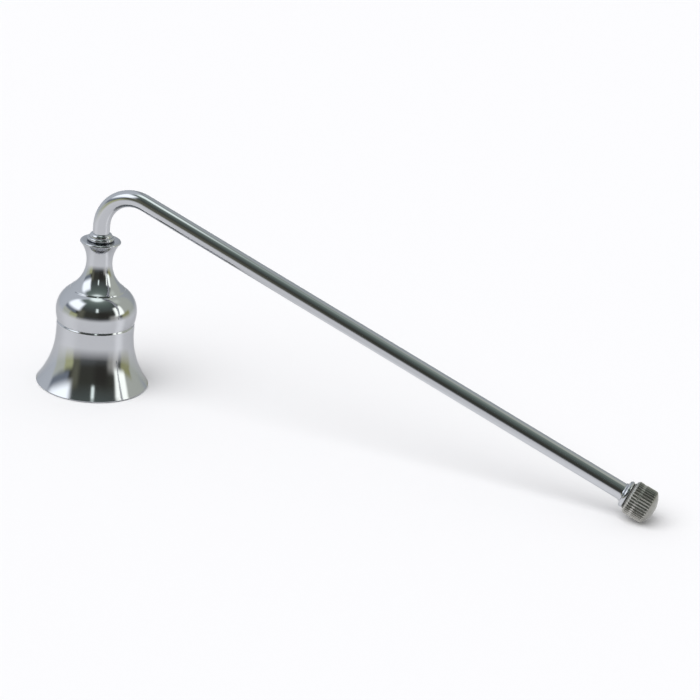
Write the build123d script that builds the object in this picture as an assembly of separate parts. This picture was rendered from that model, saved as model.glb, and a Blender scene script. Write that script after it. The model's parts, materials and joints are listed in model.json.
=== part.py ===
from build123d import *

import os
from math import asin, atan2, cos, hypot, pi, sin, tan

os.makedirs("parts", exist_ok=True)

# A candle snuffer: a turned bell, a bent rod and a knurled knob, polished and plated.
# Millimetres, +Z up. The origin is the middle of the bell's mouth, which stands on z = 0.
# The rod rises along Z, bends over towards +X and slopes down until the knob rests on z = 0 too.

# Bell, diameters from the mouth up
mouth_diameter = 33.8
band_diameter = 23.3
belly_diameter = 24.2
shoulder_diameter = 16.5
neck_base_diameter = 16.2
waist_diameter = 7.7
neck_rim_diameter = 12.1

# Bell, heights of its stretches from the mouth up
skirt_height = 16.5
band_height = 3.0
groove_width = 0.6
dome_foot_height = 3.3
dome_height = 6.65
step_height = 0.35
lower_cove_height = 8.4
upper_cove_height = 6.05
rim_land_height = 0.55

# Bell, walls and small features
bell_wall = 1.2
mouth_wall = 1.0
crown_wall = 2.0
groove_depth = 0.32
groove_rise_share = 0.84
mouth_lip = 0.4
rim_round = 0.5

# Ring between the bell's neck and the foot of the rod
ring_diameter = 8.2
ring_height = 1.2

# Rod
rod_diameter = 5.0
rod_foot_diameter = 6.8
rod_foot_height = 1.1
upright_length = 2.15
bend_radius = 10.3
handle_length = 162.3

# Threaded ends of the rod, and the holes and rings that they pass through
thread_diameter = 4.0
thread_pitch = 0.7
thread_depth = 0.38
thread_relief = 0.5
thread_sink = 0.08
thread_root_share = 0.86
thread_crest_share = 0.14
thread_clearance = 0.05
neck_thread_turns = 10
knob_thread_turns = 8
hole_spare = 1.0

# Collar pressed on the rod's far end
collar_diameter = 8.0
collar_lip = 0.15
collar_flare_length = 0.65
collar_bead_length = 1.45
press_clearance = 0.02

# Washer between collar and knob
washer_diameter = 7.8
washer_thickness = 0.3

# Knob
knob_diameter = 10.0
knob_chamfer = 0.65
narrow_band_length = 1.15
knob_groove_length = 1.15
wide_band_length = 3.15
knob_dome_height = 1.85
knob_groove_depth = 0.12
knurl_depth = 0.25
knurl_count = 36
knurl_land_share = 0.36

# How far a cutting tool runs past the face that it starts from
overrun = 1.0

# Radii and heights that several pieces share
rod_r = rod_diameter / 2
knob_r = knob_diameter / 2
thread_r = thread_diameter / 2
hole_r = thread_r + thread_clearance
band_top_z = skirt_height + band_height
dome_foot_z = band_top_z + groove_width
belly_z = dome_foot_z + dome_foot_height
shoulder_z = belly_z + dome_height
neck_base_z = shoulder_z + step_height
waist_z = neck_base_z + lower_cove_height
rim_z = waist_z + upper_cove_height
bell_height = rim_z + rim_land_height
seat_z = bell_height + ring_height
collar_length = collar_flare_length + collar_bead_length
knob_edge = knob_chamfer + narrow_band_length + knob_groove_length + wide_band_length
knob_length = knob_edge + knob_dome_height

# The slope of the handle, in radians, at which the knob's edge rests on the ground
bend_start_z = seat_z + rod_foot_height + upright_length
edge_reach = handle_length + washer_thickness + knob_edge
bend_offset = bend_radius - knob_r
slope = asin(bend_start_z / hypot(edge_reach, bend_offset)) + atan2(bend_offset, edge_reach)

# The corner where the rod's two straight lines would meet, and the ways along and across the handle
corner_leg = bend_radius * tan((pi / 2 + slope) / 2)
corner = Vector(0, 0, bend_start_z + corner_leg)
along = Vector(cos(slope), 0, -sin(slope))
across = Vector(sin(slope), 0, cos(slope))


def on_handle(distance):
    """A frame on the handle's axis with Z along it, this far past the end of the rod's full thickness."""
    return Plane(corner + along * (corner_leg + handle_length + distance), across, along)


def turned(outline):
    """A solid of revolution about Z from edges in (radius, height)."""
    return revolve(Plane.XZ * make_face(outline), Axis.Z)


def bead_edge(radius, start, length):
    """A half-round edge that bulges out to this radius, over this length of the axis."""
    root = radius - length / 2
    return ThreePointArc((root, start), (radius, start + length / 2), (root, start + length))


def threaded_tail(length):
    """A round tail of this length up from z = 0, with a right-hand thread between two plain ends."""
    core_r = thread_r - thread_depth
    root = thread_pitch * thread_root_share / 2
    crest = thread_pitch * thread_crest_share / 2
    inner_r = core_r - thread_sink
    outline = Polyline((inner_r, -root), (inner_r, root), (thread_r, crest), (thread_r, -crest), close=True)
    path = Helix(thread_pitch, length - 2 * thread_relief, core_r)
    ridge = sweep(Plane.XZ * make_face(outline), path=path, is_frenet=True)
    core = Cylinder(core_r, length, align=(Align.CENTER, Align.CENTER, Align.MIN))
    return core + Pos(0, 0, thread_relief) * ridge


def make_bell():
    """The bell: skirt, groove, dome, step and neck, one smooth hollow inside, a tapped hole in the neck."""
    mouth_r = mouth_diameter / 2
    band_r = band_diameter / 2
    belly_r = belly_diameter / 2
    shoulder_r = shoulder_diameter / 2
    base_r = neck_base_diameter / 2
    waist_r = waist_diameter / 2
    rim_r = neck_rim_diameter / 2
    mouth_inner_r = mouth_r - mouth_wall
    inner_r = band_r - bell_wall
    ceiling_r = shoulder_r - bell_wall
    ceiling_z = shoulder_z - crown_wall
    groove_bottom = (band_r - groove_depth, band_top_z + groove_width * groove_rise_share)
    outside = [
        TangentArc((mouth_r, mouth_lip), (mouth_r - mouth_lip, 0), tangent=(0, -1)),
        TangentArc((band_r, skirt_height), (mouth_r, mouth_lip), tangent=(0, -1)),
        Polyline((band_r, skirt_height), (band_r, band_top_z), groove_bottom, (band_r, dome_foot_z)),
        TangentArc((belly_r, belly_z), (band_r, dome_foot_z), tangent=(0, -1)),
        TangentArc((belly_r, belly_z), (shoulder_r, shoulder_z), tangent=(0, 1)),
        Line((shoulder_r, shoulder_z), (base_r, neck_base_z)),
        TangentArc((waist_r, waist_z), (base_r, neck_base_z), tangent=(0, -1)),
        TangentArc((waist_r, waist_z), (rim_r, rim_z), tangent=(0, 1)),
        Polyline((rim_r, rim_z), (rim_r, bell_height), (0, bell_height), (0, ceiling_z)),
    ]
    inside = [
        Line((0, ceiling_z), (ceiling_r, ceiling_z)),
        TangentArc((inner_r, belly_z), (ceiling_r, ceiling_z), tangent=(0, 1)),
        Line((inner_r, belly_z), (inner_r, skirt_height)),
        TangentArc((inner_r, skirt_height), (mouth_inner_r, 0), tangent=(0, -1)),
        Line((mouth_inner_r, 0), (mouth_r - mouth_lip, 0)),
    ]
    section = make_face(outside + inside)
    section = fillet(section.vertices().sort_by_distance((rim_r, bell_height))[0], rim_round)
    hole_depth = neck_thread_turns * thread_pitch + hole_spare
    hole = Cylinder(hole_r, hole_depth + overrun, align=(Align.CENTER, Align.CENTER, Align.MIN))
    return revolve(Plane.XZ * section, Axis.Z) - Pos(0, 0, bell_height - hole_depth) * hole


def make_neck_ring():
    """The half-round ring that lies on the neck's rim."""
    ring_r = ring_diameter / 2
    flat_r = ring_r - ring_height / 2
    ring = turned([
        Polyline((flat_r, ring_height), (hole_r, ring_height), (hole_r, 0), (flat_r, 0)),
        bead_edge(ring_r, 0, ring_height),
    ])
    return Pos(0, 0, bell_height) * ring


def make_rod():
    """The bent bar with its rounded foot and both threaded ends, as one piece."""
    foot_r = rod_foot_diameter / 2
    foot = turned([
        Polyline((rod_r, rod_foot_height), (0, rod_foot_height), (0, 0), (foot_r, 0)),
        TangentArc((foot_r, 0), (rod_r, rod_foot_height), tangent=(0, 1)),
    ])
    path = FilletPolyline((0, 0, seat_z), corner, on_handle(0).origin, radius=bend_radius)
    bar = sweep(Pos(0, 0, seat_z) * Circle(rod_r), path=path)
    neck_tail = Rot(180, 0, 0) * threaded_tail(ring_height + neck_thread_turns * thread_pitch)
    knob_tail = threaded_tail(washer_thickness + knob_thread_turns * thread_pitch)
    return bar + Pos(0, 0, seat_z) * (foot + neck_tail) + on_handle(0) * knob_tail


def make_collar():
    """The ring on the rod's far end: a concave flare, then a bead, flush with the rod's end."""
    bore_r = rod_r + press_clearance
    lip_r = bore_r + collar_lip
    root_r = (collar_diameter - collar_bead_length) / 2
    ring = turned([
        Polyline((root_r, collar_length), (bore_r, collar_length), (bore_r, 0), (lip_r, 0)),
        TangentArc((lip_r, 0), (root_r, collar_flare_length), tangent=(0, 1)),
        bead_edge(collar_diameter / 2, collar_flare_length, collar_bead_length),
    ])
    return on_handle(-collar_length) * ring


def make_knob_washer():
    """The thin flat ring between the collar and the knob."""
    washer_r = washer_diameter / 2
    top = washer_thickness
    ring = turned([Polyline((hole_r, 0), (washer_r, 0), (washer_r, top), (hole_r, top), close=True)])
    return on_handle(0) * ring


def make_knob():
    """The knob: chamfer, two knurled bands, a hollow groove between them, a domed end and a tapped hole."""
    groove_start = knob_chamfer + narrow_band_length
    groove_end = groove_start + knob_groove_length
    groove_bottom = (knob_r - knob_groove_depth, (groove_start + groove_end) / 2)
    hole_depth = knob_thread_turns * thread_pitch + hole_spare
    blank = turned([
        Polyline(
            (0, knob_length),
            (0, hole_depth),
            (hole_r, hole_depth),
            (hole_r, 0),
            (knob_r - knob_chamfer, 0),
            (knob_r, knob_chamfer),
            (knob_r, groove_start),
        ),
        ThreePointArc((knob_r, groove_start), groove_bottom, (knob_r, groove_end)),
        Line((knob_r, groove_end), (knob_r, knob_edge)),
        TangentArc((0, knob_length), (knob_r, knob_edge), tangent=(1, 0)),
    ])
    pitch = pi * knob_diameter / knurl_count
    root_r = knob_r - knurl_depth
    outer_r = knob_r + overrun
    half_width = pitch * (1 - knurl_land_share) / 2 * (outer_r - root_r) / knurl_depth
    notch = make_face(Polyline((root_r, 0), (outer_r, half_width), (outer_r, -half_width), close=True))
    cutter = Pos(0, 0, -overrun) * extrude(notch, amount=knob_length + overrun)
    step = 360 / knurl_count
    cutters = [Rot(0, 0, (i + 0.5) * step) * cutter for i in range(knurl_count)]
    return on_handle(washer_thickness) * (blank - cutters)


pieces = {
    "bell": make_bell,
    "neck_ring": make_neck_ring,
    "rod": make_rod,
    "collar": make_collar,
    "knob_washer": make_knob_washer,
    "knob": make_knob,
}

for name, make in pieces.items():
    piece = make()
    piece.label = name
    export_step(piece, f"parts/{name}.step")
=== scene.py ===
"""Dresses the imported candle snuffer: a plated bell, a bent rod, a knurled knob and their small rings.

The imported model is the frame. Each of its six nodes is replaced by a finely turned or swept mesh of the
same sizes, which rides on the node's body and takes a procedural finish. A small studio stands round it: a
pale floor, a soft lamp, a room and a ceiling lamp for the plating to mirror, and the camera.
"""

import json
import logging
import math
from abc import ABC, abstractmethod
from dataclasses import dataclass, field
from enum import Enum
from typing import Any, Callable, ClassVar, Sequence

import bpy
from bpy.types import Material, Node, NodeSocket, NodeTree, Object
from mathutils import Matrix, Vector

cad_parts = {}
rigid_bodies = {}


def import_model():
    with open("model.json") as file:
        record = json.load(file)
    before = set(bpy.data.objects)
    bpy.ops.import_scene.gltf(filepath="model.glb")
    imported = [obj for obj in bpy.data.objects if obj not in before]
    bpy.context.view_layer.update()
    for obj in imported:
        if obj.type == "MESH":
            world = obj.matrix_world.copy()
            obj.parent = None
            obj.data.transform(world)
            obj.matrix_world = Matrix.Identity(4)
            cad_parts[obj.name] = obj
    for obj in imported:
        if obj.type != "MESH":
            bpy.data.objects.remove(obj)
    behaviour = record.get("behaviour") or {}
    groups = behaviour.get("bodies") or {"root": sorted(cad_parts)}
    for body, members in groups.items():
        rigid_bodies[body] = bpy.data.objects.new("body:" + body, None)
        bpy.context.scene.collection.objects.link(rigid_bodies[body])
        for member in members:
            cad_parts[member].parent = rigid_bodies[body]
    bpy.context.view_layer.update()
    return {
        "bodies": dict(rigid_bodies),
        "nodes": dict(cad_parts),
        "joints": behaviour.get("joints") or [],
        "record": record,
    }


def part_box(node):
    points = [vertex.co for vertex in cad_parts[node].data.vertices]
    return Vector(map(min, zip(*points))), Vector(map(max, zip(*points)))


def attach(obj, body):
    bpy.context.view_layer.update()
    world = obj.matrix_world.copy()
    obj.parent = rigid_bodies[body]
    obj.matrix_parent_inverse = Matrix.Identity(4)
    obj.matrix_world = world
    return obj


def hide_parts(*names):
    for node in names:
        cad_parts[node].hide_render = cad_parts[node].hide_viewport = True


log = logging.getLogger("snuffer")

MM = 0.001
MICRON = 0.000001
MARKS_LAYER = "marks"
CUT_LAYER = "cut_back"

# A radius below this, in millimetres, is a point on the axis.
ON_AXIS = 1e-6

# Faces that meet at a larger turn than this, in degrees, keep a sharp edge.
SHARP_TURN = 40.0

# Nearly all values of a noise texture lie between these two.
NOISE_LOW = 0.3
NOISE_HIGH = 0.7

# The Mix node's sockets for colours, which share their names with its sockets for numbers.
MIX_FACTOR = 0
MIX_A = 6
MIX_B = 7
MIX_RESULT = 2

# The elevation straight up, in degrees.
ZENITH = 90.0

# An outline's point, a linear colour, the frame at a distance, a shaped radius, and what gives an input its
# number or its colour.
Point = tuple[float, float]
Colour = tuple[float, float, float, float]
Placer = Callable[[float], Matrix]
Shaper = Callable[[float, float, float], float]
Feed = NodeSocket | float
Paint = NodeSocket | Colour


class Heading(Enum):
    """Which way an outline runs, in degrees from outwards towards up."""

    UP = 90.0
    IN = 180.0
    DOWN = 270.0


class Lay(Enum):
    """Which way the fine marks of a worked metal run, as the axis of the marks layer that counts them."""

    TURNED = "Y"
    DRAWN = "X"


def linear(code: str) -> Colour:
    """Turns an sRGB colour into the linear one that the shaders work in.

    Args:
        code: The colour as a hex value, such as "#B9BBBF".

    Returns:
        Red, green, blue and an alpha of 1.
    """
    channels = (int(code[i:i + 2], 16) / 255 for i in (1, 3, 5))
    red, green, blue = (c / 12.92 if c <= 0.04045 else ((c + 0.055) / 1.055) ** 2.4 for c in channels)
    return red, green, blue, 1.0


def add_node(tree: NodeTree, kind: str, inputs: dict[str | int, Any], **settings: Any) -> Node:
    """Adds a node with its settings, values and links.

    Args:
        tree: The material's or the world's node tree.
        kind: The node's type, without the ShaderNode that it starts with.
        inputs: A value, or the output that feeds it, for each named or numbered input.
        **settings: Values for the node's own properties.

    Returns:
        The new node.
    """
    node = tree.nodes.new("ShaderNode" + kind)
    for name, value in settings.items():
        setattr(node, name, value)
    for key, value in inputs.items():
        if isinstance(value, NodeSocket):
            tree.links.new(value, node.inputs[key])
        else:
            node.inputs[key].default_value = value
    return node


def calculate(tree: NodeTree, operation: str, *values: Feed) -> NodeSocket:
    """Adds a Math node.

    Args:
        tree: The material's or the world's node tree.
        operation: What the node does with its values.
        *values: The numbers, or the outputs that give them.

    Returns:
        The output that gives the result.
    """
    return add_node(tree, "Math", dict(enumerate(values)), operation=operation).outputs[0]


def mix_colours(tree: NodeTree, share: NodeSocket, first: Paint, second: Paint) -> NodeSocket:
    """Adds a node that mixes two colours.

    Args:
        tree: The material's node tree.
        share: The output that gives the second colour's share.
        first: A colour, or the output that gives it.
        second: The other colour, likewise.

    Returns:
        The output that gives the mixture.
    """
    inputs = {MIX_FACTOR: share, MIX_A: first, MIX_B: second}
    return add_node(tree, "Mix", inputs, data_type="RGBA").outputs[MIX_RESULT]


def new_material(name: str) -> tuple[Material, NodeTree, Node]:
    """Makes a material with nothing in it but its output.

    Args:
        name: The material's name.

    Returns:
        The material, its node tree and the output node.
    """
    material = bpy.data.materials.new(name)
    material.use_nodes = True
    tree = material.node_tree
    tree.nodes.clear()
    return material, tree, add_node(tree, "OutputMaterial", {})


@dataclass
class Outline:
    """Half the section of a turned piece, drawn with the solid on its left.

    Attributes:
        points: (radius, height) in millimetres, the start first.
        arc_step: The largest turn between two points of an arc, in degrees.
        arc_least: The fewest pieces that an arc has.
    """

    points: list[Point]
    arc_step: float = 2.0
    arc_least: int = 3

    def line(self, *ends: Point) -> None:
        """Adds straight stretches to these points."""
        self.points.extend(ends)

    def stretch(self, end: Point, step: float, dip: float = 0.0) -> None:
        """Adds one straight or hollow stretch with points along it.

        Args:
            end: Where the stretch ends.
            step: The largest gap between two of its points, in millimetres.
            dip: How far its middle dips towards the axis, in millimetres.
        """
        start = self.points[-1]
        count = max(1, math.ceil(math.dist(start, end) / step))
        for k in range(1, count + 1):
            share = k / count
            self.points.append((
                start[0] + (end[0] - start[0]) * share - 4 * dip * share * (1 - share),
                start[1] + (end[1] - start[1]) * share,
            ))

    def arc(self, end: Point, leaves: Heading | None = None, arrives: Heading | None = None) -> None:
        """Adds a circular arc whose heading is known at one of its ends.

        Args:
            end: Where the arc ends.
            leaves: Its heading at the start.
            arrives: Its heading at the end, where that is the known one.
        """
        start = self.points[-1]
        chord = math.dist(start, end)
        slant = math.degrees(math.atan2(end[1] - start[1], end[0] - start[0]))
        bend = slant - leaves.value if leaves else arrives.value - slant
        bend = (bend + 180) % 360 - 180
        first = slant - bend
        radius = chord / (2 * math.sin(math.radians(bend)))
        count = max(self.arc_least, math.ceil(abs(2 * bend) / self.arc_step))
        for k in range(1, count + 1):
            turn = bend * k / count
            reach = 2 * radius * math.sin(math.radians(turn))
            way = math.radians(first + turn)
            self.points.append((start[0] + reach * math.cos(way), start[1] + reach * math.sin(way)))

    def eased(self, reach: float, corner: float = 15.0, steps: int = 4) -> list[Point]:
        """Rounds the corners, as polishing does.

        Args:
            reach: How far from a corner its rounding starts, in millimetres.
            corner: The smallest turn that counts as a corner, in degrees.
            steps: How many pieces each rounding has.

        Returns:
            The points of the rounded outline.
        """
        points = [Vector(p) for p in self.points]
        last = len(points) - 1
        eased = [points[0]]
        for i in range(1, last):
            before = points[i - 1] - points[i]
            after = points[i + 1] - points[i]
            if math.degrees(before.angle(-after)) < corner:
                eased.append(points[i])
                continue
            room_before = before.length if i == 1 else before.length / 2
            room_after = after.length if i == last - 1 else after.length / 2
            start = points[i] + before.normalized() * min(reach, room_before)
            end = points[i] + after.normalized() * min(reach, room_after)
            for k in range(steps + 1):
                t = k / steps
                eased.append(start * (1 - t) ** 2 + points[i] * 2 * t * (1 - t) + end * t ** 2)
        eased.append(points[last])
        return [tuple(p) for p in eased]


def bead_points(radius: float, start: float, length: float, arc_step: float = 6.0) -> list[Point]:
    """Draws a half-round edge.

    Args:
        radius: How far out the edge bulges.
        start: The height at which it starts.
        length: How much height it takes.
        arc_step: The largest turn between two points, in degrees.

    Returns:
        Its points, from the lower end up.
    """
    half = length / 2
    count = math.ceil(180 / arc_step)
    turns = (math.pi * (k / count - 0.5) for k in range(count + 1))
    return [(radius - half + half * math.cos(t), start + half + half * math.sin(t)) for t in turns]


def skin(
    name: str,
    points: Sequence[Point],
    segments: int,
    place: Placer,
    shape: Shaper | None = None,
    closed: bool = False,
) -> Object:
    """Makes a piece by carrying an outline round an axis.

    Args:
        name: The new object's name.
        points: The outline, (radius, distance along the axis) in millimetres, with the solid on its left.
        segments: How many times the outline is set down round the axis.
        place: Gives the frame, in millimetres, at a distance along the axis, with Z along it.
        shape: Gives the radius from the outline's radius, the distance and the angle, where it differs.
        closed: Whether the outline's last point joins its first one.

    Returns:
        The object, smooth. Its UVs are the turns round the axis and the millimetres along the outline, and
        an attribute holds how many millimetres the shape cuts it back.
    """
    angles = [2 * math.pi * k / segments for k in range(segments)]
    verts: list[Vector] = []
    cuts: list[float] = []
    rows: list[list[int]] = []
    lengths = [0.0]
    for i, (radius, distance) in enumerate(points):
        if i:
            lengths.append(lengths[-1] + math.dist(points[i - 1], points[i]))
        frame = place(distance)
        if radius < ON_AXIS:
            rows.append([len(verts)] * segments)
            verts.append(frame.translation * MM)
            cuts.append(0.0)
            continue
        rows.append(list(range(len(verts), len(verts) + segments)))
        for angle in angles:
            r = shape(radius, distance, angle) if shape else radius
            verts.append(frame @ Vector((r * math.cos(angle), r * math.sin(angle), 0)) * MM)
            cuts.append(max(0.0, radius - r))
    if closed:
        rows.append(rows[0])
        lengths.append(lengths[-1] + math.dist(points[-1], points[0]))
    faces: list[tuple[int, ...]] = []
    uvs: list[float] = []
    for i in range(len(rows) - 1):
        low, high = rows[i], rows[i + 1]
        for j in range(segments):
            k = (j + 1) % segments
            corners = [(low[j], j, i), (low[k], j + 1, i), (high[k], j + 1, i + 1), (high[j], j, i + 1)]
            if low[j] == low[k]:
                del corners[1]
            elif high[j] == high[k]:
                del corners[2]
            faces.append(tuple(vertex for vertex, _, _ in corners))
            for _, step, row in corners:
                uvs += (step / segments, lengths[row])
    mesh = bpy.data.meshes.new(name)
    mesh.from_pydata(verts, [], faces)
    mesh.uv_layers.new(name=MARKS_LAYER).data.foreach_set("uv", uvs)
    mesh.attributes.new(CUT_LAYER, "FLOAT", "POINT").data.foreach_set("value", cuts)
    mesh.shade_smooth()
    mesh.set_sharp_from_angle(angle=math.radians(SHARP_TURN))
    obj = bpy.data.objects.new(name, mesh)
    bpy.context.scene.collection.objects.link(obj)
    return obj


def frames_along(start: Matrix, offset: float = 0.0) -> Placer:
    """Gives the frames along a straight axis.

    Args:
        start: A frame, in millimetres, whose Z is the axis.
        offset: How far along the axis from there the distances start.

    Returns:
        What gives the frame at each distance.
    """
    origin = start @ Matrix.Translation((0, 0, offset))
    return lambda distance: origin @ Matrix.Translation((0, 0, distance))


@dataclass(frozen=True)
class PlatedFinish:
    """Brass that was worked, polished and chrome-plated.

    Attributes:
        name: The material's name.
        tint: What the plating gives back of white light that falls straight on it.
        roughness: How soft its mirror is on the whole.
        spread: How much the softness differs from place to place.
        lay: Which way the fine marks run.
        marks: How many marks there are in one millimetre along, or in one turn round.
        mark_depth: How deep the marks are, in micrometres.
        wave: The width of the waves that the polishing wheel left, in millimetres.
        wave_depth: How deep those waves are, in micrometres.
        glancing: How the plating dims at a glancing angle, next to a plain metal.
        notch_tarnish_and_shade: What the plating gives back in the notches of a knurl: tarnish together with
            painted shade.
        notch_tarnish_and_shade_depth: How deep a notch is where that painted darkening is full, in
            millimetres.
    """

    name: str
    tint: str
    roughness: float
    spread: float
    lay: Lay
    marks: float
    mark_depth: float
    wave: float
    wave_depth: float
    glancing: str = "#DCDDDE"
    notch_tarnish_and_shade: str | None = None
    notch_tarnish_and_shade_depth: float = 0.25

    def tint_source(self, tree: NodeTree) -> Paint:
        """Gives the plating's colour, darker in the notches where it has any: tarnish and painted shade.

        Args:
            tree: The material's node tree.

        Returns:
            The colour, or the output that gives it.
        """
        if self.notch_tarnish_and_shade is None:
            return linear(self.tint)
        # Painted shade and tarnish: the colour darkens as the knurl's notches cut deeper.
        cut = add_node(tree, "Attribute", {}, attribute_name=CUT_LAYER)
        depth = add_node(tree, "MapRange", {"Value": cut.outputs["Fac"], "From Max": self.notch_tarnish_and_shade_depth})
        return mix_colours(tree, depth.outputs["Result"], linear(self.tint), linear(self.notch_tarnish_and_shade))

    def material(self) -> Material:
        """Builds the finish.

        Returns:
            The material.
        """
        material, tree, output = new_material(self.name)
        place = add_node(tree, "TexCoord", {})
        layer = add_node(tree, "SeparateXYZ", {0: place.outputs["UV"]})
        count = calculate(tree, "MULTIPLY", layer.outputs[self.lay.value], self.marks)
        marks = add_node(
            tree, "TexNoise", {"W": count, "Scale": 1.0, "Detail": 3.0}, noise_dimensions="1D"
        )
        waves = add_node(
            tree, "TexNoise",
            {"Vector": place.outputs["Object"], "Scale": 1 / (self.wave * MM), "Detail": 1.0},
        )
        marked = add_node(
            tree, "Bump", {"Height": marks.outputs["Fac"], "Distance": self.mark_depth * MICRON}
        )
        waved = add_node(
            tree, "Bump",
            {
                "Height": waves.outputs["Fac"],
                "Distance": self.wave_depth * MICRON,
                "Normal": marked.outputs["Normal"],
            },
        )
        softness = add_node(
            tree, "MapRange",
            {
                "Value": waves.outputs["Fac"],
                "From Min": NOISE_LOW,
                "From Max": NOISE_HIGH,
                "To Min": self.roughness - self.spread / 2,
                "To Max": self.roughness + self.spread / 2,
            },
        )
        surface = add_node(
            tree, "BsdfPrincipled",
            {
                "Base Color": self.tint_source(tree),
                "Metallic": 1.0,
                "Specular Tint": linear(self.glancing),
                "Roughness": softness.outputs["Result"],
                "Normal": waved.outputs["Normal"],
            },
        )
        tree.links.new(surface.outputs["BSDF"], output.inputs["Surface"])
        return material


@dataclass(frozen=True)
class FibreFinish:
    """Vulcanised fibre, pressed into sheet and punched.

    Attributes:
        name: The material's name.
        colour: The colour of the pressed sheet.
        fleck: The colour of the lighter fibres in it.
        fibre: The width of a tuft of fibres, in millimetres.
        depth: How far the tufts stand up, in micrometres.
        roughness: How matt it is.
        ior: Its refractive index.
    """

    name: str
    colour: str
    fleck: str
    fibre: float
    depth: float
    roughness: float = 0.7
    ior: float = 1.55

    def material(self) -> Material:
        """Builds the finish.

        Returns:
            The material.
        """
        material, tree, output = new_material(self.name)
        place = add_node(tree, "TexCoord", {})
        tufts = add_node(
            tree, "TexNoise",
            {"Vector": place.outputs["Object"], "Scale": 1 / (self.fibre * MM), "Detail": 4.0},
        )
        colour = mix_colours(tree, tufts.outputs["Fac"], linear(self.colour), linear(self.fleck))
        raised = add_node(tree, "Bump", {"Height": tufts.outputs["Fac"], "Distance": self.depth * MICRON})
        surface = add_node(
            tree, "BsdfPrincipled",
            {
                "Base Color": colour,
                "Roughness": self.roughness,
                "IOR": self.ior,
                "Normal": raised.outputs["Normal"],
            },
        )
        tree.links.new(surface.outputs["BSDF"], output.inputs["Surface"])
        return material


Finish = PlatedFinish | FibreFinish

# Chrome plate on polished brass. It mirrors the room with soft edges and gives back about half of the
# light, and faint rings from the lathe run round it. They are drawn coarser than real ones, to show.
POLISHED_CHROME = PlatedFinish(
    name="chrome_plated_brass_polished", tint="#B9BBBF", roughness=0.085, spread=0.03,
    lay=Lay.TURNED, marks=2.5, mark_depth=0.12, wave=9.0, wave_depth=1.2,
)

# The same plate on drawn bar, with faint streaks along it from the drawing die.
DRAWN_CHROME = PlatedFinish(
    name="chrome_plated_brass_drawn", tint="#B9BBBF", roughness=0.1, spread=0.04,
    lay=Lay.DRAWN, marks=70.0, mark_depth=0.12, wave=7.0, wave_depth=1.0,
)

# The same plate on a knurl, where the wheel could not polish. The mirror is soft, and the notches are
# painted darker, as tarnish and painted shade, so that the ridges stand out as pale lines.
KNURLED_CHROME = PlatedFinish(
    name="chrome_plated_brass_knurled", tint="#B8B7B3", roughness=0.42, spread=0.12,
    lay=Lay.TURNED, marks=3.0, mark_depth=0.2, wave=2.0, wave_depth=0.8,
    notch_tarnish_and_shade="#72716C", notch_tarnish_and_shade_depth=0.2,
)

# The same plate on the knob's turned end, dulled and darkened by wear, so that it shines like satin.
WORN_CHROME = PlatedFinish(
    name="chrome_plated_brass_worn", tint="#8A8A85", roughness=0.36, spread=0.12,
    lay=Lay.TURNED, marks=3.0, mark_depth=0.4, wave=1.2, wave_depth=1.5, glancing="#FFFFFF",
)

# The inside of the bell as the lathe left it: thin plate over plain rings, so it shines without a mirror.
TURNED_INSIDE = PlatedFinish(
    name="chrome_plated_brass_as_turned", tint="#A5A6A8", roughness=0.32, spread=0.08,
    lay=Lay.TURNED, marks=1.6, mark_depth=2.5, wave=4.0, wave_depth=1.0,
)

# Grey vulcanised fibre, which is matt and a little mottled.
FIBRE = FibreFinish(
    name="vulcanised_fibre_punched", colour="#565653", fleck="#6B6A66", fibre=0.25, depth=12.0
)


class Piece(ABC):
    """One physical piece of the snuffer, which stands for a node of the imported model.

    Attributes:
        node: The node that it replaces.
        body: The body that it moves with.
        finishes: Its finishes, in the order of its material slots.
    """

    node: ClassVar[str]
    body: ClassVar[str]
    finishes: ClassVar[tuple[Finish, ...]]

    @abstractmethod
    def build(self) -> Object:
        """Makes the piece's mesh."""

    def dress(self, obj: Object) -> None:
        """Gives the piece its finishes and its place in the frame.

        Args:
            obj: The built piece.
        """
        for finish in self.finishes:
            made = bpy.data.materials.get(finish.name)
            obj.data.materials.append(made or finish.material())
        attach(obj, self.body)
        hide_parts(self.node)


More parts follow.
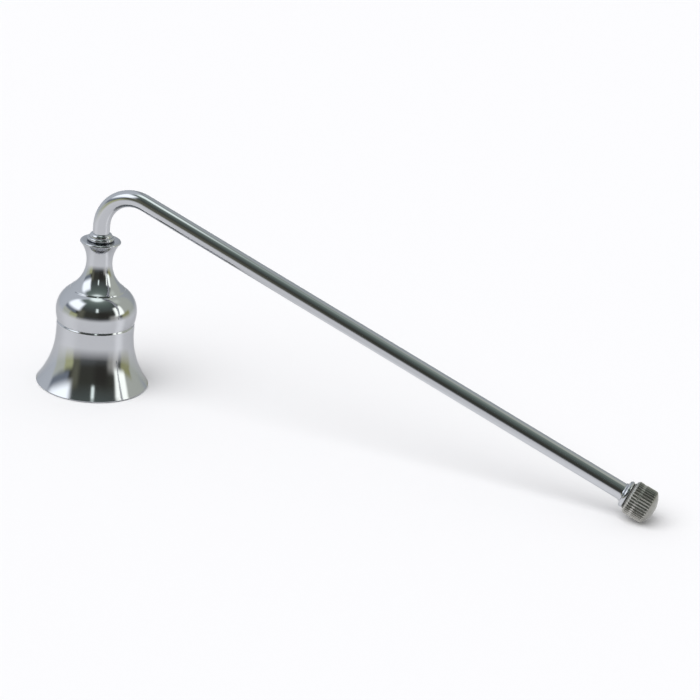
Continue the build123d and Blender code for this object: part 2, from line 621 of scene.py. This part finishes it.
@dataclass
class Bell(Piece):
    """The turned bell, hollow from below, with a tapped hole in its neck. Millimetres."""

    node: ClassVar[str] = "bell"
    body: ClassVar[str] = "bell"
    finishes: ClassVar[tuple[Finish, ...]] = (POLISHED_CHROME, TURNED_INSIDE)

    mouth_diameter: float = 33.8
    band_diameter: float = 23.3
    belly_diameter: float = 24.2
    shoulder_diameter: float = 16.5
    neck_base_diameter: float = 16.2
    waist_diameter: float = 7.7
    neck_rim_diameter: float = 12.1
    skirt_height: float = 16.5
    band_height: float = 3.0
    groove_width: float = 0.6
    dome_foot_height: float = 3.3
    dome_height: float = 6.65
    step_height: float = 0.35
    lower_cove_height: float = 8.4
    upper_cove_height: float = 6.05
    rim_land_height: float = 0.55
    wall: float = 1.2
    mouth_wall: float = 1.0
    crown_wall: float = 2.0
    groove_depth: float = 0.32
    groove_rise_share: float = 0.84
    mouth_lip: float = 0.4
    rim_round: float = 0.5
    hole_diameter: float = 4.1
    hole_depth: float = 8.0
    edge: float = 0.12
    wall_step: float = 1.0
    segments: int = 256

    def build(self) -> Object:
        """Turns the bell.

        Returns:
            The bell, whose second material slot is its inside.
        """
        mouth_r = self.mouth_diameter / 2
        band_r = self.band_diameter / 2
        shoulder_r = self.shoulder_diameter / 2
        rim_r = self.neck_rim_diameter / 2
        hole_r = self.hole_diameter / 2
        inner_r = band_r - self.wall
        band_top = self.skirt_height + self.band_height
        groove_bottom = band_top + self.groove_width * self.groove_rise_share
        dome_foot = band_top + self.groove_width
        belly = dome_foot + self.dome_foot_height
        shoulder = belly + self.dome_height
        neck_base = shoulder + self.step_height
        waist = neck_base + self.lower_cove_height
        rim = waist + self.upper_cove_height
        top = rim + self.rim_land_height
        ceiling = shoulder - self.crown_wall
        hole_end = top - self.hole_depth

        inside = Outline([(0, ceiling)])
        inside.line((shoulder_r - self.wall, ceiling))
        inside.arc((inner_r, belly), arrives=Heading.DOWN)
        inside.stretch((inner_r, self.skirt_height), self.wall_step)
        inside.arc((mouth_r - self.mouth_wall, 0), leaves=Heading.DOWN)
        inside.line((mouth_r - self.mouth_lip, 0))

        outside = Outline([(mouth_r - self.mouth_lip, 0)])
        outside.arc((mouth_r, self.mouth_lip), arrives=Heading.UP)
        outside.arc((band_r, self.skirt_height), arrives=Heading.UP)
        outside.line((band_r, band_top))
        outside.line((band_r - self.groove_depth, groove_bottom), (band_r, dome_foot))
        outside.arc((self.belly_diameter / 2, belly), arrives=Heading.UP)
        outside.arc((shoulder_r, shoulder), leaves=Heading.UP)
        outside.line((self.neck_base_diameter / 2, neck_base))
        outside.arc((self.waist_diameter / 2, waist), arrives=Heading.UP)
        outside.arc((rim_r, rim), leaves=Heading.UP)
        outside.line((rim_r, top - self.rim_round))
        outside.arc((rim_r - self.rim_round, top), leaves=Heading.UP)
        outside.line((hole_r, top), (hole_r, hole_end), (0, hole_end))

        within = inside.eased(self.edge)
        points = within + outside.eased(self.edge)[1:]
        obj = skin("bell_turned", points, self.segments, frames_along(Matrix()))
        for polygon in obj.data.polygons[:(len(within) - 1) * self.segments]:
            polygon.material_index = 1
        return obj


@dataclass
class NeckRing(Piece):
    """The half-round ring on the neck's rim. Millimetres."""

    node: ClassVar[str] = "neck_ring"
    body: ClassVar[str] = "neck_ring"
    finishes: ClassVar[tuple[Finish, ...]] = (POLISHED_CHROME,)

    diameter: float = 8.2
    height: float = 1.2
    hole_diameter: float = 4.1
    segments: int = 160

    def build(self) -> Object:
        """Turns the ring where the frame has it.

        Returns:
            The ring.
        """
        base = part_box(self.node)[0].z / MM
        hole_r = self.hole_diameter / 2
        points = [(hole_r, base)]
        points += bead_points(self.diameter / 2, base, self.height)
        points.append((hole_r, base + self.height))
        place = frames_along(Matrix())
        return skin("neck_ring_turned", points, self.segments, place, closed=True)


@dataclass
class Thread:
    """The right-hand thread on a turned-down end of the rod. Millimetres."""

    diameter: float = 4.0
    pitch: float = 0.7
    depth: float = 0.38
    relief: float = 0.5
    root_share: float = 0.86
    crest_share: float = 0.14
    points_per_turn: int = 16

    def radius(self, distance: float, length: float, angle: float) -> float:
        """How far out the thread stands at a place.

        Args:
            distance: Millimetres from the start of the tail.
            length: The tail's length in millimetres.
            angle: The angle round the tail in radians.

        Returns:
            The radius in millimetres.
        """
        core = self.diameter / 2 - self.depth
        ramp = self.relief / 2
        runout = min(distance - ramp, length - ramp - distance) / ramp
        phase = (distance / self.pitch - angle / (2 * math.pi) + 0.5) % 1 - 0.5
        rise = (self.root_share / 2 - abs(phase)) / ((self.root_share - self.crest_share) / 2)
        return core + self.depth * max(0.0, min(1.0, rise, runout))


@dataclass
class Rod(Piece):
    """The bent bar with its rounded foot and both threaded ends. Millimetres."""

    handle: Matrix

    node: ClassVar[str] = "rod"
    body: ClassVar[str] = "rod"
    finishes: ClassVar[tuple[Finish, ...]] = (DRAWN_CHROME,)

    diameter: float = 5.0
    foot_diameter: float = 6.8
    foot_height: float = 1.1
    bend_radius: float = 10.3
    neck_tail: float = 8.2
    knob_tail: float = 5.9
    bend_step: float = 0.25
    straight_step: float = 4.0
    segments: int = 128
    thread: Thread = field(default_factory=Thread)

    def build(self) -> Object:
        """Bends the bar from the neck ring's top to the handle's end.

        Returns:
            The rod.
        """
        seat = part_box("neck_ring")[1].z / MM
        end = self.handle.translation
        along = self.handle.col[2].to_3d()
        corner_height = end.z - end.x * along.z / along.x
        turn = math.pi / 2 + math.asin(-along.z)
        leg = self.bend_radius * math.tan(turn / 2)
        bend_start = corner_height - leg - seat
        bend_end = bend_start + self.bend_radius * turn
        bar_end = bend_end + end.x / along.x - leg

        def place(distance: float) -> Matrix:
            """Gives the frames along the bent axis.

            Args:
                distance: Millimetres along the axis from the seat.

            Returns:
                The frame there, with Z along the axis.
            """
            bent = min(max(distance - bend_start, 0.0), bend_end - bend_start)
            frame = Matrix.Translation((0, 0, seat + min(distance, bend_start)))
            frame @= Matrix.Translation((self.bend_radius, 0, 0))
            frame @= Matrix.Rotation(bent / self.bend_radius, 4, "Y")
            return frame @ Matrix.Translation((-self.bend_radius, 0, max(distance - bend_end, 0.0)))

        def shape(radius: float, distance: float, angle: float) -> float:
            """Cuts the threads on the two tails.

            Args:
                radius: The outline's radius.
                distance: Millimetres along the axis from the seat.
                angle: The angle round the axis in radians.

            Returns:
                The thread's radius on a tail, and the outline's own in between.
            """
            if distance < 0:
                return max(radius, self.thread.radius(distance + self.neck_tail, self.neck_tail, angle))
            if distance > bar_end:
                return max(radius, self.thread.radius(distance - bar_end, self.knob_tail, angle))
            return radius

        rod_r = self.diameter / 2
        core_r = self.thread.diameter / 2 - self.thread.depth
        thread_step = self.thread.pitch / self.thread.points_per_turn
        outline = Outline([(0, -self.neck_tail), (core_r, -self.neck_tail)])
        outline.stretch((core_r, 0), thread_step)
        outline.line((self.foot_diameter / 2, 0))
        outline.arc((rod_r, self.foot_height), leaves=Heading.UP)
        outline.stretch((rod_r, bend_start), self.straight_step)
        outline.stretch((rod_r, bend_end), self.bend_step)
        outline.stretch((rod_r, bar_end), self.straight_step)
        outline.line((core_r, bar_end))
        outline.stretch((core_r, bar_end + self.knob_tail), thread_step)
        outline.line((0, bar_end + self.knob_tail))
        return skin("rod_drawn", outline.points, self.segments, place, shape)


@dataclass
class Collar(Piece):
    """The flared ring pressed on the rod's far end. Millimetres."""

    handle: Matrix

    node: ClassVar[str] = "collar"
    body: ClassVar[str] = "rod"
    finishes: ClassVar[tuple[Finish, ...]] = (POLISHED_CHROME,)

    diameter: float = 8.0
    bore_diameter: float = 5.04
    lip: float = 0.15
    flare_length: float = 0.65
    bead_length: float = 1.45
    segments: int = 128

    def build(self) -> Object:
        """Turns the collar flush with the rod's end.

        Returns:
            The collar.
        """
        bore_r = self.bore_diameter / 2
        length = self.flare_length + self.bead_length
        root_r = (self.diameter - self.bead_length) / 2
        outline = Outline([(bore_r, 0), (bore_r + self.lip, 0)], arc_step=8.0)
        outline.arc((root_r, self.flare_length), leaves=Heading.UP)
        outline.line(*bead_points(self.diameter / 2, self.flare_length, self.bead_length)[1:])
        outline.line((bore_r, length))
        place = frames_along(self.handle, -length)
        return skin("collar_turned", outline.points, self.segments, place, closed=True)


@dataclass
class KnobWasher(Piece):
    """The thin flat ring between the collar and the knob. Millimetres."""

    handle: Matrix

    node: ClassVar[str] = "knob_washer"
    body: ClassVar[str] = "knob_washer"
    finishes: ClassVar[tuple[Finish, ...]] = (FIBRE,)

    diameter: float = 7.8
    hole_diameter: float = 4.1
    thickness: float = 0.3
    edge: float = 0.04
    segments: int = 96

    def build(self) -> Object:
        """Punches the washer.

        Returns:
            The washer.
        """
        hole_r = self.hole_diameter / 2
        rim_r = self.diameter / 2
        outline = Outline([(hole_r, 0), (rim_r, 0), (rim_r, self.thickness), (hole_r, self.thickness)])
        place = frames_along(self.handle)
        return skin("washer_punched", outline.eased(self.edge), self.segments, place, closed=True)


@dataclass
class Knob(Piece):
    """The knob: chamfer, two knurled bands with a hollow groove between, a domed end. Millimetres."""

    handle: Matrix

    node: ClassVar[str] = "knob"
    body: ClassVar[str] = "knob"
    finishes: ClassVar[tuple[Finish, ...]] = (KNURLED_CHROME, WORN_CHROME)

    washer_thickness: float = 0.3
    diameter: float = 10.0
    chamfer: float = 0.65
    narrow_band: float = 1.15
    groove: float = 1.15
    wide_band: float = 3.15
    dome: float = 1.85
    groove_depth: float = 0.12
    groove_step: float = 0.15
    knurl_depth: float = 0.25
    knurl_count: int = 36
    ridge_power: float = 0.75
    hole_diameter: float = 4.1
    hole_depth: float = 6.6
    edge: float = 0.08
    dome_edge: float = 0.45
    points_per_ridge: int = 10

    def build(self) -> Object:
        """Turns and knurls the knob.

        Returns:
            The knob, whose second material slot is its domed end.
        """
        knob_r = self.diameter / 2
        hole_r = self.hole_diameter / 2
        groove_start = self.chamfer + self.narrow_band
        groove_end = groove_start + self.groove
        dome_start = groove_end + self.wide_band
        tip = dome_start + self.dome
        dome_r = (knob_r ** 2 + self.dome ** 2) / (2 * self.dome)
        round_r = knob_r - self.dome_edge
        round_end = tip - dome_r + math.sqrt(dome_r ** 2 - round_r ** 2)

        def shape(radius: float, distance: float, angle: float) -> float:
            """Cuts the knurl's notches.

            Args:
                radius: The outline's radius.
                distance: Millimetres along the axis.
                angle: The angle round the axis in radians.

            Returns:
                The radius, no larger than the notches leave it.
            """
            turn = angle * self.knurl_count / (2 * math.pi)
            cut = ((1 - math.cos(2 * math.pi * turn)) / 2) ** self.ridge_power
            return min(radius, knob_r - self.knurl_depth * cut)

        outline = Outline([(0, self.hole_depth), (hole_r, self.hole_depth), (hole_r, 0)])
        outline.line((knob_r - self.chamfer, 0), (knob_r, self.chamfer), (knob_r, groove_start))
        outline.stretch((knob_r, groove_end), self.groove_step, self.groove_depth)
        outline.line((knob_r, dome_start - self.dome_edge))
        outline.arc((round_r, round_end), leaves=Heading.UP)
        outline.arc((0, tip), arrives=Heading.IN)
        points = outline.eased(self.edge)
        place = frames_along(self.handle, self.washer_thickness)
        segments = self.knurl_count * self.points_per_ridge
        obj = skin("knob_knurled", points, segments, place, shape)
        knurled = max(i for i, (_, height) in enumerate(points) if height < dome_start)
        for polygon in obj.data.polygons[knurled * segments:]:
            polygon.material_index = 1
        return obj


@dataclass(frozen=True)
class Panel:
    """A soft-edged patch of the room's wall, as the plating shows it.

    Attributes:
        azimuth: The bearing of its middle in degrees, 0 towards -Y and 90 towards +X.
        width: Its width in degrees.
        low: The elevation of its lower edge in degrees.
        high: The elevation of its upper edge in degrees.
        edge: How wide its soft edges are, in degrees.
        colour: Its colour in the mirror.
        gain: How much brighter than its colour it is, where it is a lamp.
    """

    azimuth: float
    width: float
    low: float
    high: float
    edge: float
    colour: str
    gain: float = 1.0

    def light(self) -> Colour:
        """Its colour, made brighter by its gain."""
        red, green, blue, _ = linear(self.colour)
        return red * self.gain, green * self.gain, blue * self.gain, 1.0

    def mask(self, tree: NodeTree, azimuth: NodeSocket, elevation: Feed) -> NodeSocket:
        """Adds the nodes that tell how far a direction is inside the panel.

        Args:
            tree: The material's node tree.
            azimuth: The output that gives the bearing in degrees.
            elevation: The output, or the number, that gives the elevation in degrees.

        Returns:
            The output that gives 1 inside the panel and 0 outside.
        """
        aside = calculate(tree, "SUBTRACT", azimuth, self.azimuth)
        away = calculate(tree, "ABSOLUTE", calculate(tree, "WRAP", aside, -180.0, 180.0))
        soft = self.edge / 2
        limits = (
            (away, self.width / 2 + soft, self.width / 2 - soft),
            (elevation, self.low - soft, self.low + soft),
            (elevation, self.high + soft, self.high - soft),
        )
        mask: Feed = 1.0
        for value, outer, inner in limits:
            inside = add_node(
                tree, "MapRange", {"Value": value, "From Min": outer, "From Max": inner},
                interpolation_type="SMOOTHSTEP",
            )
            mask = calculate(tree, "MULTIPLY", mask, inside.outputs["Result"])
        return mask


def bearing(tree: NodeTree, spot: Node) -> NodeSocket:
    """Adds the nodes that turn a place into its bearing.

    Args:
        tree: The material's node tree.
        spot: The node that gives the place's X, Y and Z.

    Returns:
        The output that gives the bearing in degrees.
    """
    front = calculate(tree, "MULTIPLY", spot.outputs["Y"], -1.0)
    return calculate(tree, "DEGREES", calculate(tree, "ARCTAN2", spot.outputs["X"], front))


def mirror_only(obj: Object) -> None:
    """Hides an object from all but the mirror of the plating.

    Args:
        obj: The room or a lamp.
    """
    obj.visible_camera = False
    obj.visible_diffuse = False
    obj.visible_shadow = False


@dataclass
class Studio:
    """The floor, the room that the plating mirrors, the lamps and the world. Metres and degrees."""

    floor_half: float = 3.0
    floor_drop: float = 0.00005
    floor_colour: str = "#F1F1F3"
    # The angles to the floor at which its painted mirror of the room starts and is full.
    floor_gloss: tuple[float, float] = (16.5, 1.5)
    ceiling_place: tuple[float, float, float] = (0.0, 0.0, 0.3)
    # Where the ceiling lamp's soft edge ends and starts.
    ceiling_radius: float = 0.085
    ceiling_core: float = 0.03
    ceiling_colour: str = "#E8F1EC"
    room_radius: float = 5.0
    room_middle: tuple[float, float, float] = (0.02, 0.0, 0.025)
    room_segments: int = 96
    # The plating gives back about half, so the room is twice as bright as its colours in the mirror.
    mirror_gain: float = 2.0
    # The wall's colours by elevation, from the horizon up.
    sky: tuple[tuple[float, str], ...] = (
        (0.0, "#464848"),
        (6.0, "#33332F"),
        (24.0, "#33342F"),
        (42.0, "#434846"),
        (60.0, "#525B56"),
        (70.0, "#616A65"),
        (76.0, "#707974"),
        (82.0, "#88918C"),
        (90.0, "#9AA39E"),
    )
    # What is on the room's wall. Each panel covers those before it.
    panels: tuple[Panel, ...] = (
        # Pale walls: at the left, at the back right and behind.
        Panel(-112.0, 92.0, -25.0, 80.0, 20.0, "#A7ABB0"),
        Panel(142.0, 62.0, -25.0, 72.0, 18.0, "#9DA098"),
        Panel(180.0, 40.0, -25.0, 66.0, 16.0, "#94989A"),
        # The dark front, a little lighter at its left and darkest at its right.
        Panel(-18.0, 18.0, -10.0, 30.0, 14.0, "#55554A"),
        Panel(48.0, 34.0, 2.0, 28.0, 20.0, "#2A2926"),
        # Low at the left: blue grey, over a pale and an olive patch.
        Panel(-56.0, 42.0, 9.0, 24.0, 9.0, "#666C75"),
        Panel(-64.0, 32.0, -10.0, 9.0, 10.0, "#A2A59C"),
        Panel(-40.0, 24.0, -10.0, 7.0, 9.0, "#989A78"),
        # The left lamp, and a narrow strip of light near the middle.
        Panel(-50.0, 48.0, 23.0, 57.0, 15.0, "#F5F9FD", 1.06),
        Panel(29.0, 7.0, 29.0, 45.0, 6.0, "#E3EDE8"),
        # Low at the right: two greys and an olive patch.
        Panel(74.0, 16.0, -8.0, 9.0, 14.0, "#868580"),
        Panel(87.0, 16.0, -12.0, 10.0, 9.0, "#A6A5A1"),
        Panel(118.0, 28.0, -3.0, 8.0, 9.0, "#848461"),
        # High at the right: a pale patch, and the right lamp below it.
        Panel(128.0, 20.0, 46.0, 58.0, 16.0, "#B4B8B0"),
        Panel(98.5, 29.0, 5.5, 39.0, 8.0, "#F6F9F1", 1.08),
    )
    # Painted glare on the floor: where the plating sees it brighter, by each one's gain.
    sheens: tuple[Panel, ...] = (
        Panel(-48.0, 44.0, -90.0, 90.0, 30.0, "#FFFFFF", 0.12),
        Panel(96.0, 22.0, -90.0, 90.0, 20.0, "#FFFFFF", 0.3),
    )
    # How strongly the world lights what doesn't mirror it.
    ambient: float = 0.55
    sun_strength: float = 2.15
    sun_width: float = 60.0
    sun_tilt: tuple[float, float, float] = (30.0, -18.0, 0.0)

    def room_colour(self, tree: NodeTree, azimuth: NodeSocket, elevation: Feed) -> NodeSocket:
        """Adds the nodes that paint the room by direction.

        Args:
            tree: The material's node tree.
            azimuth: The output that gives the bearing in degrees.
            elevation: The output, or the number, that gives the elevation in degrees.

        Returns:
            The output that gives the colour.
        """
        share = add_node(tree, "MapRange", {"Value": elevation, "From Max": ZENITH})
        ramp = add_node(tree, "ValToRGB", {"Fac": share.outputs["Result"]})
        stops = ramp.color_ramp.elements
        while len(stops) < len(self.sky):
            stops.new(1.0)
        for stop, (height, code) in zip(stops, self.sky):
            stop.position = height / ZENITH
            stop.color = linear(code)
        colour = ramp.outputs["Color"]
        for panel in self.panels:
            colour = mix_colours(tree, panel.mask(tree, azimuth, elevation), colour, panel.light())
        return colour

    def room(self) -> Object:
        """Builds the room, which only the mirror of the plating sees.

        Returns:
            The room.
        """
        material, tree, output = new_material("room_wall_painted")
        place = add_node(tree, "TexCoord", {})
        spot = add_node(tree, "SeparateXYZ", {0: place.outputs["Object"]})
        flat = add_node(
            tree, "VectorMath", {0: place.outputs["Object"], 1: (1.0, 1.0, 0.0)}, operation="MULTIPLY"
        )
        reach = add_node(tree, "VectorMath", {0: flat.outputs[0]}, operation="LENGTH")
        rise = calculate(tree, "ARCTAN2", spot.outputs["Z"], reach.outputs["Value"])
        colour = self.room_colour(tree, bearing(tree, spot), calculate(tree, "DEGREES", rise))
        glow = add_node(tree, "Emission", {"Color": colour, "Strength": self.mirror_gain})
        tree.links.new(glow.outputs[0], output.inputs["Surface"])

        bpy.ops.mesh.primitive_uv_sphere_add(
            segments=self.room_segments, ring_count=self.room_segments // 2,
            radius=self.room_radius, location=self.room_middle,
        )
        room = bpy.context.object
        room.name = "room"
        room.data.materials.append(material)
        mirror_only(room)
        return room

    def ceiling(self) -> Object:
        """Hangs the round lamp over the bell, which only the mirror of the plating sees.

        Returns:
            The lamp's disc.
        """
        material, tree, output = new_material("ceiling_lamp_soft")
        place = add_node(tree, "TexCoord", {})
        away = add_node(tree, "VectorMath", {0: place.outputs["Object"]}, operation="LENGTH")
        inside = add_node(
            tree, "MapRange",
            {"Value": away.outputs["Value"], "From Min": self.ceiling_radius, "From Max": self.ceiling_core},
            interpolation_type="SMOOTHSTEP",
        )
        glow = add_node(
            tree, "Emission", {"Color": linear(self.ceiling_colour), "Strength": self.mirror_gain}
        )
        clear = add_node(tree, "BsdfTransparent", {})
        surface = add_node(
            tree, "MixShader", {0: inside.outputs["Result"], 1: clear.outputs[0], 2: glow.outputs[0]}
        )
        tree.links.new(surface.outputs[0], output.inputs["Surface"])

        bpy.ops.mesh.primitive_plane_add(size=2 * self.ceiling_radius, location=self.ceiling_place)
        disc = bpy.context.object
        disc.name = "ceiling_lamp"
        disc.data.materials.append(material)
        mirror_only(disc)
        return disc

    def floor(self) -> Object:
        """Builds the pale floor, which the plating sees as a painted mirror of the room at a glancing angle,
        with painted glare.

        Returns:
            The floor.
        """
        material, tree, output = new_material("floor_pale_painted_mirror")
        place = add_node(tree, "TexCoord", {})
        spot = add_node(tree, "SeparateXYZ", {0: place.outputs["Object"]})
        azimuth = bearing(tree, spot)
        path = add_node(tree, "LightPath", {})
        view = add_node(tree, "LayerWeight", {})
        clear, full = (1 - math.sin(math.radians(angle)) for angle in self.floor_gloss)
        faded = add_node(
            tree, "MapRange", {"Value": view.outputs["Facing"], "From Min": clear, "From Max": full}
        )
        # Painted reflection and glare: emission that only glossy rays see.
        mirrored = calculate(tree, "MULTIPLY", faded.outputs["Result"], path.outputs["Is Glossy Ray"])
        matt = add_node(tree, "BsdfDiffuse", {"Color": linear(self.floor_colour)})
        lit: Feed = 0.0
        for panel in self.sheens:
            lit = calculate(tree, "MULTIPLY_ADD", panel.mask(tree, azimuth, 0.0), panel.gain, lit)
        glossy = calculate(tree, "MULTIPLY", lit, path.outputs["Is Glossy Ray"])
        glare = add_node(tree, "Emission", {"Strength": glossy})
        shiny = add_node(tree, "AddShader", {0: matt.outputs[0], 1: glare.outputs[0]})
        colour = self.room_colour(tree, azimuth, 0.0)
        glow = add_node(tree, "Emission", {"Color": colour, "Strength": self.mirror_gain})
        surface = add_node(tree, "MixShader", {0: mirrored, 1: shiny.outputs[0], 2: glow.outputs[0]})
        tree.links.new(surface.outputs[0], output.inputs["Surface"])

        bpy.ops.mesh.primitive_plane_add(size=2 * self.floor_half, location=(0, 0, -self.floor_drop))
        floor = bpy.context.object
        floor.name = "floor"
        floor.data.materials.append(material)
        return floor

    def world(self) -> None:
        """Sets a plain soft sky, which is white where the camera, metal or glass looks at it."""
        world = bpy.data.worlds.new("studio_sky")
        world.use_nodes = True
        tree = world.node_tree
        tree.nodes.clear()
        path = add_node(tree, "LightPath", {})
        seen = path.outputs["Is Camera Ray"]
        for kind in ("Is Glossy Ray", "Is Transmission Ray"):
            seen = calculate(tree, "MAXIMUM", seen, path.outputs[kind])
        strength = add_node(tree, "MapRange", {"Value": seen, "To Min": self.ambient, "To Max": 1.0})
        sky = add_node(
            tree, "Background", {"Color": linear("#FFFFFF"), "Strength": strength.outputs["Result"]}
        )
        add_node(tree, "OutputWorld", {"Surface": sky.outputs[0]})
        bpy.context.scene.world = world

    def lamp(self) -> None:
        """Hangs one wide soft lamp, which lights the floor and leaves no spot in the plating."""
        light = bpy.data.lights.new("soft_lamp", "SUN")
        light.energy = self.sun_strength
        light.angle = math.radians(self.sun_width)
        lamp = bpy.data.objects.new("soft_lamp", light)
        lamp.rotation_euler = [math.radians(a) for a in self.sun_tilt]
        lamp.visible_glossy = False
        bpy.context.scene.collection.objects.link(lamp)

    def build(self) -> None:
        """Puts up the studio."""
        self.world()
        self.lamp()
        self.floor()
        self.room()
        self.ceiling()


@dataclass
class PhotoCamera:
    """The camera at the photograph's place. Degrees, millimetres, and pixels of a 700 by 700 image."""

    azimuth: float = 18.4893
    elevation: float = 21.7907
    roll: float = 6.4714
    image_size: float = 700.0
    focal_length_px: float = 2000.0
    mouth_px: Point = (92.05, 380.62)
    mouth_depth: float = 608.065
    sensor: float = 36.0
    clip_start: float = 10.0

    def build(self) -> None:
        """Sets the camera up so that the middle of the bell's mouth falls on its pixel."""
        data = bpy.data.cameras.new("photo_camera")
        data.sensor_width = self.sensor
        data.lens = self.sensor * self.focal_length_px / self.image_size
        data.clip_start = self.clip_start * MM
        turn = Matrix.Rotation(math.radians(self.azimuth), 4, "Z")
        turn @= Matrix.Rotation(math.radians(ZENITH - self.elevation), 4, "X")
        turn @= Matrix.Rotation(math.radians(self.roll), 4, "Z")
        middle = self.image_size / 2
        ray = Vector((
            (self.mouth_px[0] - middle) / self.focal_length_px,
            (middle - self.mouth_px[1]) / self.focal_length_px,
            -1.0,
        ))
        camera = bpy.data.objects.new("photo_camera", data)
        camera.matrix_world = Matrix.Translation(turn @ ray * -self.mouth_depth * MM) @ turn
        bpy.context.scene.collection.objects.link(camera)
        bpy.context.scene.camera = camera


def handle_frame(frame: dict[str, Any]) -> Matrix:
    """Finds the far end of the handle.

    Args:
        frame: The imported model.

    Returns:
        The frame at the end of the rod's full thickness, in millimetres, with Z along the handle.
    """
    joint = next(j for j in frame["joints"] if j["name"] == "knob_turn")
    along = Vector(joint["axis"]).normalized()
    side = Vector((0, 1, 0))
    across = side.cross(along)
    turn = Matrix((across, side, along)).transposed().to_4x4()
    return Matrix.Translation(Vector(joint["pos_m"]) / MM) @ turn


def main() -> None:
    """Builds and dresses every piece, then the studio and the camera."""
    logging.basicConfig(level=logging.INFO, format="%(name)s: %(message)s")
    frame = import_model()
    handle = handle_frame(frame)
    pieces: list[Piece] = [
        Bell(), NeckRing(), Rod(handle), Collar(handle), KnobWasher(handle), Knob(handle)
    ]
    for piece in pieces:
        obj = piece.build()
        piece.dress(obj)
        log.info("%s stands for %s, with %d faces", obj.name, piece.node, len(obj.data.polygons))
    Studio().build()
    PhotoCamera().build()
    bpy.context.scene.view_settings.view_transform = "Standard"


if __name__ == "__main__":
    main()
